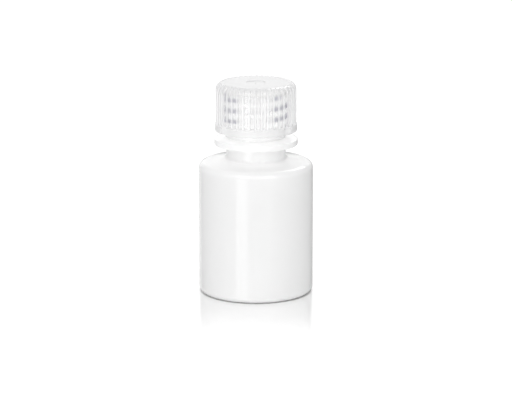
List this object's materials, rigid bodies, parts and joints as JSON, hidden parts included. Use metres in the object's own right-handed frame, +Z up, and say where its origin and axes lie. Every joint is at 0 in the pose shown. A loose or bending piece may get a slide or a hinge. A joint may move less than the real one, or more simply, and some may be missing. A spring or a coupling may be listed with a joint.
{
  "type": "narrow-mouth sample bottle",
  "caption": "Small white plastic bottle with a straight round body, sloped shoulder, neck ring and a translucent ribbed screw cap that unscrews.",
  "frame": {"origin": "centre of the circle that the bottle stands on, at the table surface", "axes": "+Z up along the bottle's axis, front is -Y"},
  "size_m": [0.034, 0.034, 0.0636],
  "materials": {
    "white_polyethylene": "opaque white, moulded, soft gloss",
    "natural_polypropylene": "natural translucent, moulded, soft gloss",
    "liner_foam": "white foamed sheet, matte"
  },
  "bodies": {
    "bottle_body": {"bottle": "white_polyethylene"},
    "liner_body": {"cap_liner": "liner_foam"},
    "cap_body": {"screw_cap": "natural_polypropylene"}
  },
  "joints": [
    {"name": "cap_lift", "type": "slide", "parent": "bottle_body", "child": "liner_body", "axis": [0, 0, 1], "range_m": [0, 0.01588]},
    {"name": "cap_turn", "type": "hinge", "parent": "liner_body", "child": "cap_body", "pos_m": [0, 0, 0.056], "axis": [0, 0, 1], "range_deg": [0, 1800]}
  ],
  "couplings": [
    {"joint": "cap_lift", "follows": "cap_turn", "m_per_rad": 0.00050532}
  ]
}
